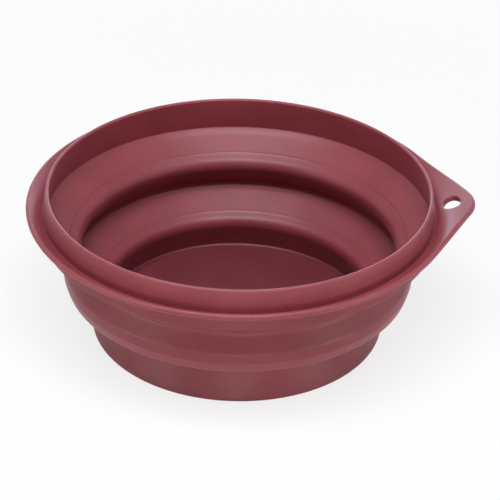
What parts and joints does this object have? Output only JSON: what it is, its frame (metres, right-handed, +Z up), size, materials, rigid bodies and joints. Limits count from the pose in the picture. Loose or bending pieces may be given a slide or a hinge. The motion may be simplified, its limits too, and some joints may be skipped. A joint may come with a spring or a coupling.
{
  "type": "collapsible bowl",
  "caption": "Collapsible silicone travel bowl: a stepped bellows wall folds flat ring by ring; a flared flange and a hanging tab with an eyelet surround the rim.",
  "frame": {"origin": "centre of the base underside, on the axis of the bowl, where it stands on a table", "axes": "+Z up along the axis of the bowl, +X towards the hanging tab"},
  "size_m": [0.2101, 0.1992, 0.0735],
  "materials": {
    "silicone": "satin moulded silicone"
  },
  "bodies": {
    "base": {"base_floor": "silicone", "lower_tier": "silicone", "lower_shoulder": "silicone", "lower_web_inner": "silicone"},
    "tier": {"lower_web_outer": "silicone", "upper_tier": "silicone", "upper_shoulder": "silicone", "upper_web_inner": "silicone"},
    "rim": {"upper_web_outer": "silicone", "rim_collar": "silicone", "rim_flange": "silicone", "hanging_tab": "silicone"}
  },
  "joints": [
    {"name": "lower_fold", "type": "slide", "parent": "base", "child": "tier", "axis": [0, 0, -1], "range_m": [0, 0.023]},
    {"name": "upper_fold", "type": "slide", "parent": "tier", "child": "rim", "axis": [0, 0, -1], "range_m": [0, 0.027]}
  ]
}
